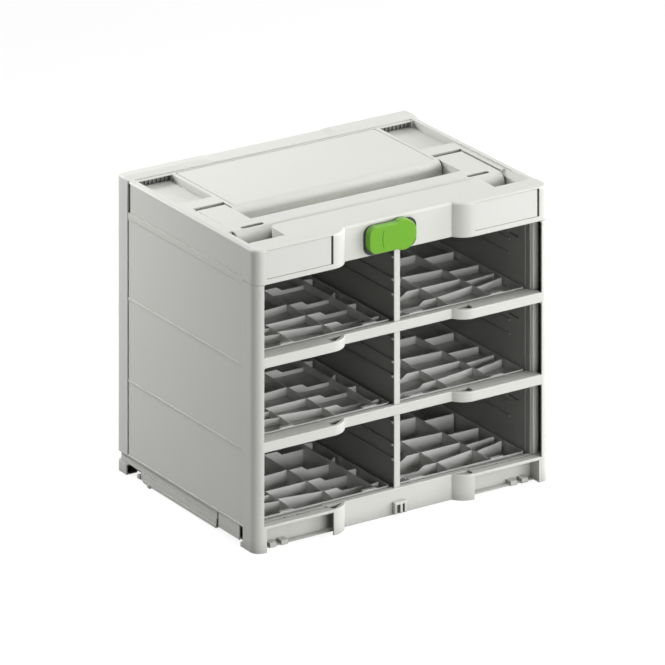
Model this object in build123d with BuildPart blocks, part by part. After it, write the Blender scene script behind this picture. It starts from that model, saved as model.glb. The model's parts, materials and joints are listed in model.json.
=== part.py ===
"""Open-fronted stacking rack case with six lift-out sorting trays.

Frame: origin on the floor under the middle of the case, X to the right,
Y to the back, Z up, all in millimetres.
"""

import os

from build123d import *

# ---------------------------------------------------------------- overall
CASE_WIDTH = 396.0
CASE_DEPTH = 296.0
CASE_HEIGHT = 337.0
FRONT_CORNER_R = 11.0
BACK_CORNER_R = 6.5
TOP_EDGE_R = 3.0
EDGE_R = 0.8                # small rounding on the frame's visible edges

# ---------------------------------------------------------------- levels
BASE_HEIGHT = 28.5          # top of the base rail
BAR_HEIGHT = 11.25          # each shelf bar
FASCIA_HEIGHT = 41.0        # header above the top bays
LID_BAND = 37.5             # height of the cover at the sides
SHELL_BOTTOM = 22.6         # lower edge of the side and back panels
TOP_BAY_LESS = 1.0          # the top bays are this much lower than the others
ROWS = 3

# ---------------------------------------------------------------- front frame
POST_DEPTH = 26.4           # corner post, front to back
POST_FACE = 11.5            # corner post, outside to the bay edge
POST_SKIN = 1.6             # thickness of the post's front face
POST_WALL = 2.2             # thickness of the post's outer and rear walls
POST_RIB = 7.2              # outside of the case to the post's solid inner side
WEB_DEPTH = 3.0             # webs in the bays' upper corners, front to back
STRIP_REACH = 15.1          # outside of the case to the inner edge of the set-back strip
STRIP_SETBACK = 13.0
STRIP_THICK = 1.5
BAY_CORNER_R = 3.0
FRAME_DEPTH = 20.0          # bars and base rail, front to back
JOG_INNER = 72.0            # the centre of the front is set back inside this
JOG_OUTER = 93.5            # and flush outside this
JOG_SETBACK = 13.0
CENTRE_POST = 7.6
CENTRE_SETBACK = 2.6        # centre strips, behind the set-back front
CENTRE_THICK = 1.6
NUB_OUT = 1.2
NUB_HEIGHT = 2.4
NOTCH_DEPTH = 9.0           # pocket behind each step of the front

# ---------------------------------------------------------------- label recesses
LABEL_INNER = 95.3
LABEL_OUTER = 183.1
LABEL_LOW = 6.0             # above the header's lower edge
LABEL_HEIGHT = 31.5
LABEL_RECESS = 1.2
LABEL_THICK = 0.8
LABEL_GAP = 0.3
LABEL_SLOT = 2.2
LABEL_SLOT_DEPTH = 9.0

# ---------------------------------------------------------------- shell
PANEL_INSET = 1.0           # side faces lie this far inside the posts
PANEL_WALL = 3.5
RIDGE = 7.3                 # ledge under the cover's side band
RIDGE_SEAT = 9.4            # the ledge's full-width end, at the back post
BACK_POST_DEPTH = 24.2
BACK_WALL = 3.5
SEAM = 1.0
MID_RIDGE_DROP = 3.4        # ridges on the side faces, below each shelf bar
MID_RIDGE = 2.2
LID_SLOT = 3.8              # wide slot beside the lid band
LID_SLOT_DEPTH = 8.0
COVER_LIP = 6.0             # thickness of the cover over the back posts

# ---------------------------------------------------------------- lining
LINER_WALL = 3.0
LINER_INNER = 180.0         # inner face of the side lining
DECK = 1.6
CEILING = 3.0
PARTITION = 3.0
RAIL_OUT = 2.1
RAIL_HEIGHT = 1.8
RAIL_DROPS = (9.0, 34.5, 51.0)      # below the top of each bay
SEAM_STEP = 0.7             # the lining thickens this much behind the tray front
STOP_SLOT_BACK = 58.0
STOP_SLOT_LENGTH = 22.0
STOP_SLOT_HEIGHT = 2.2
STOP_SLOT_DROP = 27.5

# ---------------------------------------------------------------- base
PAN_WALL = 2.5
PAN_FLOOR = 2.0
PAN_LIFT = 2.0              # underside of the pan above the floor
PAN_INSET = 3.5
RECESS_DEPTH = 18.5         # base recess either side of the middle
RECESS_LIP = 3.0
RECESS_SILL = 1.6           # thickness of the sill under the recess
RECESS_SILL_Y = 11.0        # its front edge, behind the case front
BOSS_SKIN = 2.2             # the hollow bosses' front wall
BOSS_OUTER = 94.5
BOSS_HOLLOW = 16.0          # reach of the hollow into each boss
FRONT_FOOT = 8.6
FRONT_FOOT_X = (149.8, 165.0)
FRONT_FOOT_DEPTH = 10.0
FRONT_FOOT_HEIGHT = 5.2
RIM_LINE_Y = 10.8           # groove along the base rail, behind the front face
RIM_LINE_GROOVE = 2.0
RIM_LINE_WIDTH = 5.0        # ridge behind the groove
RIM_LINE_DEPTH = 2.2
RIM_NOTCHES = (-152.7, -136.2, -97.7, 131.8, 149.2)
REAR_FOOT_LENGTH = 22.0
REAR_FOOT_WIDTH = 14.7
REAR_FOOT_HEIGHT = 11.5
REAR_FOOT_WALL = 1.2
FOOT_RECESS = 26.0          # the pan is cut away this far in front of each rear foot
SKIRT_LIFT = 3.5            # underside of the side skirts above the pan's
SKIRT_SKIN = 1.2            # thickness of the skirts, which are open behind their front ends
SKIRT_OPEN = 12.0
PAN_THIN = 0.9              # pan wall behind the rear gap
SKIRT_GAPS = ((29.3, 34.8), (78.5, 84.7))   # behind the case front
LOW_BAND_END = 240.0       # low bands along the sides end here, behind the case front
LOW_BAND_TOP = 12.5
LOW_BAND_FOOT = 5.5
CLIP_WIDTH = 16.8
CLIP_HEIGHT = 12.8
CLIP_OUT = 6.0
CLIP_CAP = 2.5
CLIP_GAPS = ((-6.2, -1.2), (1.9, 4.6))

# ---------------------------------------------------------------- cover
PAD_INNER = 83.0            # stacking pads over the back posts start this far out
PAD_RAMP = 10.0             # the pads' edges slope down over this length
EDGE_DROP = 2.0             # front and rear rims lie this much below the pads
SIDE_DROP = 2.4             # side rims
INNER_DROP = 3.5            # area inside the rims
RIM_WIDTH = 9.0             # side rim, outside to inside
PLATE_HALF = 135.5
PLATE_THICK = 3.0
PLATE_GAP = 0.9
PLATE_REAR_MARGIN = 28.7    # plate's rear edge to the back of the case
POCKET_INNER = 141.8
POCKET_REAR_MARGIN = 29.0
POCKET_LENGTH = 87.0
POCKET_DEPTH = 7.8
POCKET_RIBS = 8
POCKET_RECESS = 3.0         # the slotted band stands back from the pocket's back wall
POCKET_SLOT_DEPTH = 6.0
POCKET_SLOT_SHARE = 0.85
BAY_FLOOR = 26.0            # depth of the handle bay
BAY_WALL = 3.0
BLOCK_FRONT = 135.2         # centre block's front, behind the case front
BLOCK_NOSE_R = 9.0
PLATE_SETBACK = 9.3         # plate's front edge, behind the block's
RIM_REAR = 63.0             # front rim's rear edge, behind the case front
FRONT_POCKET_FRONT = 28.0   # front pockets, behind the case front
FRONT_POCKET_INNER = 141.0
FRONT_POCKET_CORNER_R = 10.0
CHEEK_FRONT = 75.0          # cheeks beside the arms slope down in front of this
CHEEK_SLOPE = 6.5

# ---------------------------------------------------------------- handle
HANDLE_TOP_DROP = 4.3
HANDLE_OUTER = 180.2
ARM_INNER = 142.3
HANDLE_CLEAR = 1.5
HANDLE_FRONT = 64.0         # grip's front, behind the case front
GRIP_DEPTH = 34.3
HANDLE_REAR = 152.0         # rear end of the arms, behind the case front
HANDLE_REAR_GAP = 6.3
ARM_THICK = 14.5
GRIP_THICK = 16.5
GRIP_NOSE_R = 12.0
GRIP_END_R = 1.5
PIVOT_FORWARD = 8.5         # pivot in front of the arms' rear ends
PIN_R = 3.0
PIN_CLEAR = 0.05
PIN_SEAT = 6.5
SLIT_INNER = 137.4
SLIT_LENGTH = 30.0
SLIT_WIDTH = 6.5
SLIT_DEPTH = 12.5
SLIT_BACK = 79.0

# ---------------------------------------------------------------- latch
LATCH_DROP = 21.0           # pivot below the top of the case
KNOB_R = 17.0
KNOB_REACH = 46.0
KNOB_WING = 29.5
KNOB_WING_R = 9.5
KNOB_THICK = 9.2
KNOB_EDGE_R = 1.0
KNOB_GROOVE_R = 29.2        # arc groove across the wing, about the pivot
KNOB_GROOVE = 1.2
KNOB_GROOVE_LENGTH = 20.0
KNOB_GROOVE_DEPTH = 0.5
BACKING_THICK = 2.5
BACKING_LEFT = 47.0         # pivot to the backing's ends
BACKING_RIGHT = 22.4
BACKING_LOW = 1.5           # above the header's lower edge
BACKING_HEIGHT = 32.5
BACKING_CORNER_R = 9.5
RUNNING_GAP = 0.3
SPINDLE_R = 4.0
SPINDLE_CLEAR = 0.05
WASHER_R = 8.0
WASHER_THICK = 1.8

# ---------------------------------------------------------------- trays
TRAY_FRONT = 23.0           # tray front, behind the case front
TRAY_REAR_GAP = 1.5
TRAY_SIDE_GAP = 0.7
TRAY_INNER = 5.0
TRAY_WALL = 1.6
TRAY_FLOOR = 1.2
TRAY_PROUD = 0.8            # rim above the shelf bar
DIVIDER = 1.6
DIVIDER_SEAT = 0.2
DIVIDER_X = (21.5, 76.7, 132.0)
FIN_END = 174.0
DIVIDER_DROP = 0.3          # dividers end this far below the rim
TRAY_CORNER_R = 3.0
TRAY_RIM_R = 0.5
CLIP_RISE = 0.7
CLIP_STARTS = (22.3, 132.8)
CLIP_WIDTHS = (18.0, 17.0)
# Cross fins in each column, as (inner end, outer end) behind the tray front.
NARROW_FINS = ((16.0, 14.0), (62.0, 63.0), (105.0, 96.0), (153.0, 156.0))
NOTCHED_FINS = ((27.5, 27.5), (62.0, 62.0), (100.0, 100.0), (153.0, 153.0))
MIDDLE_FINS = ((28.0, 37.0), (62.0, 62.0), (102.0, 98.0), (153.0, 153.0))
OUTER_FINS = ((30.0, 40.0), (51.5, 55.5), (88.0, 87.0), (138.0, 138.0))
NARROW_FIN_END = 10.0
NOTCH_FROM = 60.0
NOTCH_TO = 51.0
NOTCH_DROP = 4.8

# ---------------------------------------------------------------- derived
HALF_W = CASE_WIDTH / 2
FRONT = -CASE_DEPTH / 2
BACK = CASE_DEPTH / 2
FASCIA_LOW = CASE_HEIGHT - FASCIA_HEIGHT
LID_LOW = CASE_HEIGHT - LID_BAND
BAY_HEIGHT = (FASCIA_LOW + TOP_BAY_LESS - BASE_HEIGHT - (ROWS - 1) * BAR_HEIGHT) / ROWS
BAY_EDGE = HALF_W - POST_FACE
STRIP_EDGE = HALF_W - STRIP_REACH
STRIP_FRONT = FRONT + STRIP_SETBACK
LINER_FRONT = STRIP_FRONT + STRIP_THICK
SET_BACK = FRONT + JOG_SETBACK
FRAME_BACK = FRONT + FRAME_DEPTH
CENTRE_FRONT = SET_BACK + CENTRE_SETBACK
CENTRE_BACK = CENTRE_FRONT + CENTRE_THICK
POST_BACK = FRONT + POST_DEPTH
PANEL_X = HALF_W - PANEL_INSET
BACK_POST_FRONT = BACK - BACK_POST_DEPTH
LINER_X = HALF_W - (198.0 - LINER_INNER)
LINER_BACK = BACK - BACK_WALL - LINER_WALL
PAN_TOP = PAN_LIFT + PAN_FLOOR
PAN_X = HALF_W - PAN_INSET
CEILING_LOW = LID_LOW - CEILING
TRAY_Y = FRONT + TRAY_FRONT
TRAY_X = LINER_X - SEAM_STEP - TRAY_SIDE_GAP
TRAY_BACK = LINER_BACK - TRAY_REAR_GAP
BAR_LOWS = [BASE_HEIGHT + BAY_HEIGHT, BASE_HEIGHT + 2 * BAY_HEIGHT + BAR_HEIGHT]
DECK_TOPS = [low + DECK for low in BAR_LOWS]
ROW_NAMES = ("bottom", "middle", "top")
ROW_SEATS = [PAN_TOP] + DECK_TOPS
ROW_RIMS = [BASE_HEIGHT + TRAY_PROUD] + [low + BAR_HEIGHT + TRAY_PROUD for low in BAR_LOWS]
ROW_CEILINGS = BAR_LOWS + [CEILING_LOW]
ROW_FRAME_TOPS = BAR_LOWS + [FASCIA_LOW]
ROW_FRAME_LOWS = [BASE_HEIGHT] + [low + BAR_HEIGHT for low in BAR_LOWS]
RIM_INNER = HALF_W - RIM_WIDTH
EDGE_TOP = CASE_HEIGHT - EDGE_DROP
SIDE_TOP = CASE_HEIGHT - SIDE_DROP
INNER_TOP = CASE_HEIGHT - INNER_DROP
PLATE_TOP = INNER_TOP
BLOCK_Y = FRONT + BLOCK_FRONT
PLATE_FRONT = BLOCK_Y + PLATE_SETBACK
PLATE_BACK = BACK - PLATE_REAR_MARGIN
POCKET_BACK = BACK - POCKET_REAR_MARGIN
POCKET_FRONT = POCKET_BACK - POCKET_LENGTH
BAY_LOW = CASE_HEIGHT - BAY_FLOOR
RIM_REAR_Y = FRONT + RIM_REAR
CHEEK_Y = FRONT + CHEEK_FRONT
FRONT_POCKET_Y = FRONT + FRONT_POCKET_FRONT
CHEEK_X = HANDLE_OUTER + HANDLE_CLEAR
BLOCK_X = ARM_INNER - HANDLE_CLEAR
HANDLE_TOP = CASE_HEIGHT - HANDLE_TOP_DROP
HANDLE_Y = FRONT + HANDLE_FRONT
GRIP_REAR_Y = HANDLE_Y + GRIP_DEPTH
ARM_REAR_Y = FRONT + HANDLE_REAR
ARM_GAP_Y = ARM_REAR_Y + HANDLE_REAR_GAP
PIVOT_Y = ARM_REAR_Y - PIVOT_FORWARD
PIVOT_Z = HANDLE_TOP - ARM_THICK / 2
LATCH_Z = CASE_HEIGHT - LATCH_DROP
BACKING_Y = SET_BACK - BACKING_THICK
KNOB_BACK = BACKING_Y - RUNNING_GAP
KNOB_FRONT = KNOB_BACK - KNOB_THICK


def block(x0, x1, y0, y1, z0, z1, mode=Mode.ADD):
    """A box between two corners, in the part being built."""
    with Locations(((x0 + x1) / 2, (y0 + y1) / 2, (z0 + z1) / 2)):
        Box(abs(x1 - x0), abs(y1 - y0), abs(z1 - z0), mode=mode)


def both_sides(x0, x1, y0, y1, z0, z1, mode=Mode.ADD):
    """The same box on the right and, mirrored, on the left."""
    block(x0, x1, y0, y1, z0, z1, mode)
    block(-x1, -x0, y0, y1, z0, z1, mode)


def along_x(x0, x1, y, z, radius, mode=Mode.ADD):
    """A cylinder along X."""
    with Locations(Location(((x0 + x1) / 2, y, z), (0, 90, 0))):
        Cylinder(radius, abs(x1 - x0), mode=mode)


def along_y(x, y0, y1, z, radius, mode=Mode.ADD):
    """A cylinder along Y."""
    with Locations(Location((x, (y0 + y1) / 2, z), (90, 0, 0))):
        Cylinder(radius, abs(y1 - y0), mode=mode)


def front_profile(half, back_y):
    """The stepped front of the case, in the sketch being built."""
    with BuildLine() as outline:
        Line((0, back_y), (0, SET_BACK))
        Line((0, SET_BACK), (JOG_INNER, SET_BACK))
        TangentArc((JOG_OUTER, FRONT), (JOG_INNER, SET_BACK), tangent=(-1, 0))
        Line((JOG_OUTER, FRONT), (half, FRONT))
        Line((half, FRONT), (half, back_y))
        Line((half, back_y), (0, back_y))
    make_face(outline.edges())
    mirror(about=Plane.YZ)


def rail_profile():
    """Plan of a rail across the front."""
    front_profile(BAY_EDGE, FRAME_BACK)
    RectangleRounded(CASE_WIDTH, CASE_DEPTH, FRONT_CORNER_R, mode=Mode.INTERSECT)


def front_outline(edges):
    """Those of a rail's edges that run along its stepped front."""
    return ShapeList(
        e for e in edges if e.center().Y < SET_BACK + 0.1 and abs(e.center().X) < LINER_X
    )


def jog_notches(top):
    """Deep three-cornered pockets in the top, behind each step of the front."""
    for side in (-1, 1):
        with BuildSketch(Plane.XY.offset(top - NOTCH_DEPTH)) as notch:
            with BuildLine():
                Polyline(
                    (side * (JOG_INNER + 4.0), SET_BACK - 0.6),
                    (side * (JOG_INNER + 11.0), SET_BACK - 5.2),
                    (side * (JOG_OUTER - 2.5), SET_BACK - 10.0),
                    (side * (JOG_OUTER + 1.5), SET_BACK - 8.0),
                    (side * (JOG_OUTER + 1.5), SET_BACK + 1.0),
                    close=True,
                )
            make_face()
        extrude(notch.sketch, amount=NOTCH_DEPTH + 1, dir=(0, 0, 1), mode=Mode.SUBTRACT)


def finish(part, name):
    """Label a finished piece and write it."""
    part.part.label = name
    export_step(part.part, f"parts/{name}.step")


os.makedirs("parts", exist_ok=True)

# ================================================================ front frame
for side_name, side in (("left", -1), ("right", 1)):
    with BuildPart() as corner_post:
        with BuildSketch():
            RectangleRounded(CASE_WIDTH, CASE_DEPTH, FRONT_CORNER_R)
            with Locations((side * (HALF_W - POST_FACE / 2), FRONT + POST_DEPTH / 2)):
                Rectangle(POST_FACE, POST_DEPTH, mode=Mode.INTERSECT)
        extrude(amount=FASCIA_LOW)
        with BuildSketch(Plane.XY.offset(BASE_HEIGHT)):
            hollow_back = POST_BACK - POST_WALL
            shallow_in = BAY_EDGE - 1
            deep_in = HALF_W - POST_RIB
            outer = HALF_W - POST_WALL
            for inner, back in ((shallow_in, STRIP_FRONT), (deep_in, hollow_back)):
                with Locations((side * (inner + outer) / 2, (FRONT + back) / 2)):
                    Rectangle(outer - inner, back - FRONT)
            RectangleRounded(CASE_WIDTH - 2 * POST_WALL, CASE_DEPTH - 2 * POST_SKIN,
                             FRONT_CORNER_R - POST_WALL, mode=Mode.INTERSECT)
        extrude(amount=FASCIA_LOW - BASE_HEIGHT, mode=Mode.SUBTRACT)
        block(side * STRIP_EDGE, side * (BAY_EDGE + 1), STRIP_FRONT, LINER_FRONT, BASE_HEIGHT,
              FASCIA_LOW)
        for bay_top in ROW_FRAME_TOPS:
            web_x = side * (BAY_EDGE - BAY_CORNER_R)
            block(web_x, side * (BAY_EDGE + 1), FRONT + EDGE_R, FRONT + WEB_DEPTH,
                  bay_top - BAY_CORNER_R, bay_top)
            along_y(web_x, FRONT, FRONT + WEB_DEPTH + 1, bay_top - BAY_CORNER_R, BAY_CORNER_R,
                    mode=Mode.SUBTRACT)
    finish(corner_post, f"corner_post_{side_name}")

for name, low in zip(("shelf_bar_lower", "shelf_bar_upper"), BAR_LOWS):
    with BuildPart() as shelf_bar:
        with BuildSketch(Plane.XY.offset(low)):
            rail_profile()
        extrude(amount=BAR_HEIGHT)
        long_edges = shelf_bar.edges() - shelf_bar.edges().filter_by(Axis.Z)
        fillet(front_outline(long_edges), EDGE_R)
        both_sides(LINER_X, BAY_EDGE + 1, STRIP_FRONT, FRAME_BACK + 1, low - 1,
                   low + BAR_HEIGHT + 1, mode=Mode.SUBTRACT)
        jog_notches(low + BAR_HEIGHT)
    finish(shelf_bar, name)

with BuildPart() as centre_posts:
    for low, high in zip(ROW_FRAME_LOWS, ROW_FRAME_TOPS):
        half = CENTRE_POST / 2
        block(-half, half, CENTRE_FRONT, CENTRE_BACK, low, high)
        for drop in RAIL_DROPS:
            rail_z = high - drop
            both_sides(PARTITION / 2, half + NUB_OUT, CENTRE_BACK, FRAME_BACK,
                       rail_z - NUB_HEIGHT / 2, rail_z + NUB_HEIGHT / 2)
finish(centre_posts, "centre_posts")

with BuildPart() as front_fascia:
    with BuildSketch(Plane.XY.offset(FASCIA_LOW)):
        front_profile(HALF_W, FRAME_BACK)
        for side in (-1, 1):
            with Locations((side * (HALF_W - RIM_WIDTH / 2), (FRAME_BACK + POST_BACK) / 2)):
                Rectangle(RIM_WIDTH, POST_BACK - FRAME_BACK)
        RectangleRounded(CASE_WIDTH, CASE_DEPTH, FRONT_CORNER_R, mode=Mode.INTERSECT)
    extrude(amount=EDGE_TOP - FASCIA_LOW)
    low_edges = front_fascia.faces().sort_by(Axis.Z)[0].edges()
    fillet(front_outline(low_edges), EDGE_R)
    top_edges = front_fascia.faces().sort_by(Axis.Z)[-1].edges()
    front_edges = [e for e in top_edges if e.center().Y < FRAME_BACK - 0.5]
    corner_edges = [e for e in top_edges if abs(e.center().X) > HALF_W - 1]
    fillet(ShapeList(set(front_edges + corner_edges)), TOP_EDGE_R)
    label_z = FASCIA_LOW + LABEL_LOW
    for x0, x1 in ((LABEL_INNER, LABEL_OUTER), (-LABEL_OUTER, -LABEL_INNER)):
        block(x0, x1, FRONT - 1, FRONT + LABEL_RECESS, label_z, label_z + LABEL_HEIGHT,
              mode=Mode.SUBTRACT)
        block(x1 - LABEL_SLOT, x1, FRONT - 1, FRONT + LABEL_SLOT_DEPTH, label_z,
              label_z + LABEL_HEIGHT, mode=Mode.SUBTRACT)
    along_y(0, SET_BACK - 1, FRAME_BACK + 1, LATCH_Z, SPINDLE_R + SPINDLE_CLEAR,
            mode=Mode.SUBTRACT)
    along_y(0, FRAME_BACK - WASHER_THICK - 2 * RUNNING_GAP, FRAME_BACK + 1, LATCH_Z,
            WASHER_R + 1, mode=Mode.SUBTRACT)
finish(front_fascia, "front_fascia")

for side_name, x0, x1 in (
    ("left", -LABEL_OUTER, -LABEL_INNER),
    ("right", LABEL_INNER, LABEL_OUTER),
):
    with BuildPart() as label_plate:
        block(
            x0 + LABEL_GAP,
            x1 - LABEL_SLOT - LABEL_GAP,
            FRONT + LABEL_RECESS - LABEL_THICK,
            FRONT + LABEL_RECESS,
            label_z + LABEL_GAP,
            label_z + LABEL_HEIGHT - LABEL_GAP,
        )
        chamfer(label_plate.faces().sort_by(Axis.Y)[0].edges(), 0.25)
    finish(label_plate, f"label_plate_{side_name}")

# ================================================================ base
with BuildPart() as base_front:
    with BuildSketch():
        rail_profile()
    extrude(amount=BASE_HEIGHT)
    fillet(front_outline(base_front.faces().sort_by(Axis.Z)[-1].edges()), EDGE_R)
    recess_top = BASE_HEIGHT - RECESS_LIP
    both_sides(BOSS_OUTER, STRIP_EDGE, FRONT - 1, FRONT + RECESS_DEPTH, -1, recess_top,
               mode=Mode.SUBTRACT)
    foot_back = FRONT + RECESS_DEPTH
    for side in (-1, 1):
        with BuildSketch() as boss_hollow:
            with BuildLine():
                Polyline(
                    (side * (BOSS_OUTER + 1), FRONT + BOSS_SKIN),
                    (side * (BOSS_OUTER - 4), FRONT + BOSS_SKIN),
                    (side * (BOSS_OUTER - BOSS_HOLLOW), FRONT + BOSS_SKIN + JOG_SETBACK),
                    (side * (BOSS_OUTER - BOSS_HOLLOW), foot_back),
                    (side * (BOSS_OUTER + 1), foot_back),
                    close=True,
                )
            make_face()
        extrude(boss_hollow.sketch, amount=recess_top, dir=(0, 0, 1), mode=Mode.SUBTRACT)
    for foot_x in FRONT_FOOT_X:
        both_sides(foot_x, foot_x + FRONT_FOOT, foot_back - FRONT_FOOT_DEPTH, foot_back + 1,
                   0, FRONT_FOOT_HEIGHT)
    both_sides(BOSS_OUTER - BOSS_HOLLOW - 1, STRIP_EDGE + 1, FRONT + RECESS_SILL_Y, foot_back + 1,
               0, RECESS_SILL)
    jog_notches(BASE_HEIGHT)
    rim_y = FRONT + RIM_LINE_Y
    groove_low = BASE_HEIGHT - RIM_LINE_DEPTH
    both_sides(JOG_OUTER + 4, STRIP_EDGE, rim_y, rim_y + RIM_LINE_GROOVE, groove_low,
               BASE_HEIGHT + 1, mode=Mode.SUBTRACT)
    both_sides(JOG_OUTER + 4, STRIP_EDGE, rim_y + RIM_LINE_GROOVE + RIM_LINE_WIDTH,
               FRAME_BACK + 1, groove_low, BASE_HEIGHT + 1, mode=Mode.SUBTRACT)
    for notch_x in RIM_NOTCHES:
        block(notch_x - 1.5, notch_x + 1.5, rim_y - 0.8, rim_y + RIM_LINE_GROOVE + 1,
              groove_low - 2, BASE_HEIGHT + 1, mode=Mode.SUBTRACT)
finish(base_front, "base_front")

with BuildPart() as base_clip:
    half = CLIP_WIDTH / 2
    block(-half, half, SET_BACK - CLIP_OUT, SET_BACK, PAN_LIFT, PAN_LIFT + CLIP_HEIGHT)
    chamfer(base_clip.faces().sort_by(Axis.Y)[0].edges(), 0.8)
    for gap_x0, gap_x1 in CLIP_GAPS:
        block(gap_x0, gap_x1, SET_BACK - CLIP_OUT - 1, SET_BACK - 1, PAN_LIFT - 1,
              PAN_LIFT + CLIP_HEIGHT - CLIP_CAP, mode=Mode.SUBTRACT)
finish(base_clip, "base_clip")

with BuildPart() as base_pan:
    pan_back = BACK - PAN_INSET + 2
    block(-PAN_X, PAN_X, POST_BACK, pan_back, PAN_LIFT, SHELL_BOTTOM)
    block(-BAY_EDGE, BAY_EDGE, FRAME_BACK, POST_BACK, PAN_LIFT, SHELL_BOTTOM)
    fillet(base_pan.edges().filter_by(Axis.Z).group_by(Axis.Y)[-1], BACK_CORNER_R - 2)
    block(-PAN_X + PAN_WALL, PAN_X - PAN_WALL, POST_BACK + PAN_WALL, pan_back - PAN_WALL,
          PAN_TOP, SHELL_BOTTOM + 1, mode=Mode.SUBTRACT)
    neck_x = LINER_X + LINER_WALL
    block(-neck_x, neck_x, FRAME_BACK - 1, POST_BACK + PAN_WALL + 1, PAN_TOP,
          SHELL_BOTTOM + 1, mode=Mode.SUBTRACT)
    for gap_y0, gap_y1 in SKIRT_GAPS:
        both_sides(PAN_X - PAN_WALL, PAN_X + 1, FRONT + gap_y0, FRONT + gap_y1, PAN_LIFT - 1,
                   SHELL_BOTTOM + 1, mode=Mode.SUBTRACT)
    skirt_y0 = FRONT + SKIRT_GAPS[0][1]
    skirt_y1 = FRONT + SKIRT_GAPS[1][0]
    skirt_low = PAN_LIFT + SKIRT_LIFT
    rib_in = PAN_X - 2 * PAN_WALL
    rib_y0 = skirt_y0 + SKIRT_OPEN
    both_sides(rib_in - PAN_WALL, PAN_X - 1, rib_y0, skirt_y1, PAN_TOP - 1, skirt_low + 2)
    both_sides(rib_in, PAN_X + 1, skirt_y0, skirt_y1, PAN_LIFT - 1, skirt_low,
               mode=Mode.SUBTRACT)
    both_sides(PAN_X - PAN_WALL, PAN_X + 1, skirt_y0 - 1, rib_y0, PAN_LIFT - 1,
               SHELL_BOTTOM + 1, mode=Mode.SUBTRACT)
    both_sides(PAN_X - 1, PANEL_X, rib_y0, skirt_y1 - SKIRT_OPEN / 2, skirt_low, SHELL_BOTTOM)
    both_sides(PANEL_X - SKIRT_SKIN, PANEL_X, skirt_y0, skirt_y1, skirt_low, SHELL_BOTTOM)
    low_band = HALF_W - 2
    low_band_y = FRONT + SKIRT_GAPS[1][1]
    both_sides(PAN_X - PAN_WALL, PAN_X - PAN_THIN, low_band_y - 1, low_band_y + SKIRT_OPEN,
               PAN_TOP, SHELL_BOTTOM + 1, mode=Mode.SUBTRACT)
    both_sides(PAN_X - 1, low_band, low_band_y, FRONT + LOW_BAND_END, PAN_LIFT, LOW_BAND_TOP)
    both_sides(PAN_X - 1, low_band + 0.8, low_band_y, FRONT + LOW_BAND_END, PAN_LIFT,
               LOW_BAND_FOOT)
    both_sides(low_band - 5, PANEL_X + 0.5, FRONT + 225, FRONT + 230, 0, PAN_LIFT + 2)
    both_sides(PAN_X - PAN_WALL, HALF_W, POST_BACK, POST_BACK + 5, 0, PAN_LIFT + 3)
    foot_in = HALF_W - REAR_FOOT_WIDTH
    foot_y0 = BACK - REAR_FOOT_LENGTH
    both_sides(foot_in, HALF_W + 1, foot_y0 - FOOT_RECESS, BACK + 1, PAN_LIFT - 1,
               REAR_FOOT_HEIGHT, mode=Mode.SUBTRACT)
    stud_y = foot_y0 - 20
    both_sides(foot_in - 1, foot_in + 9, stud_y, stud_y + 6, PAN_LIFT, PAN_TOP)
    both_sides(foot_in + 3, foot_in + 9, stud_y, stud_y + 6, 0, PAN_TOP)
finish(base_pan, "base_pan")

with BuildPart() as rear_feet:
    both_sides(foot_in, HALF_W, foot_y0, BACK, 0, REAR_FOOT_HEIGHT)
    outer_verticals = rear_feet.edges().filter_by(Axis.Z).group_by(Axis.Y)[-1]
    fillet([e for e in outer_verticals if abs(e.center().X) > HALF_W - 1], 7)
    both_sides(foot_in + REAR_FOOT_WALL, HALF_W - REAR_FOOT_WALL, foot_y0 - 1,
               BACK - BACK_CORNER_R, REAR_FOOT_WALL, REAR_FOOT_HEIGHT - REAR_FOOT_WALL,
               mode=Mode.SUBTRACT)
finish(rear_feet, "rear_feet")

# ================================================================ outer shell
for side_name, side in (("left", -1), ("right", 1)):
    with BuildPart() as side_panel:
        panel_in = PANEL_X - PANEL_WALL
        panel_back = BACK_POST_FRONT - SEAM
        block(side * panel_in, side * PANEL_X, POST_BACK, panel_back, SHELL_BOTTOM, LID_LOW)
        ridge_in = PANEL_X - 1
        for ridge_z, proud, height in (
            (SHELL_BOTTOM, PANEL_INSET, 2.0),
            (BAR_LOWS[0] - MID_RIDGE_DROP, 0.8, MID_RIDGE),
            (BAR_LOWS[1] - MID_RIDGE_DROP, 0.8, MID_RIDGE),
            (LID_LOW - RIDGE, PANEL_INSET, RIDGE),
        ):
            block(side * ridge_in, side * (PANEL_X + proud), POST_BACK, panel_back,
                  ridge_z, ridge_z + height)
        block(side * panel_in, side * PANEL_X, panel_back - 1, BACK_POST_FRONT,
              LID_LOW - RIDGE_SEAT, LID_LOW)
    finish(side_panel, f"side_panel_{side_name}")

with BuildPart() as back_panel:
    shell_top = CASE_HEIGHT - COVER_LIP
    with BuildSketch(Plane.XY.offset(SHELL_BOTTOM)):
        RectangleRounded(CASE_WIDTH, CASE_DEPTH, BACK_CORNER_R)
        inner_w = CASE_WIDTH - 2 * (PANEL_INSET + PANEL_WALL)
        inner_d = CASE_DEPTH - 2 * BACK_WALL
        RectangleRounded(inner_w, inner_d, BACK_CORNER_R - BACK_WALL, mode=Mode.SUBTRACT)
        with Locations((0, (BACK + BACK_POST_FRONT) / 2)):
            Rectangle(CASE_WIDTH, BACK_POST_DEPTH, mode=Mode.INTERSECT)
    extrude(amount=shell_top - SHELL_BOTTOM)
    for rib in range(3):
        rib_z = (BAR_LOWS[0], BAR_LOWS[1], LID_LOW - RIDGE)[rib]
        block(-HALF_W + 30, HALF_W - 30, BACK - 1.2, BACK + 1, rib_z, rib_z + 2,
              mode=Mode.SUBTRACT)
finish(back_panel, "back_panel")

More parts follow.
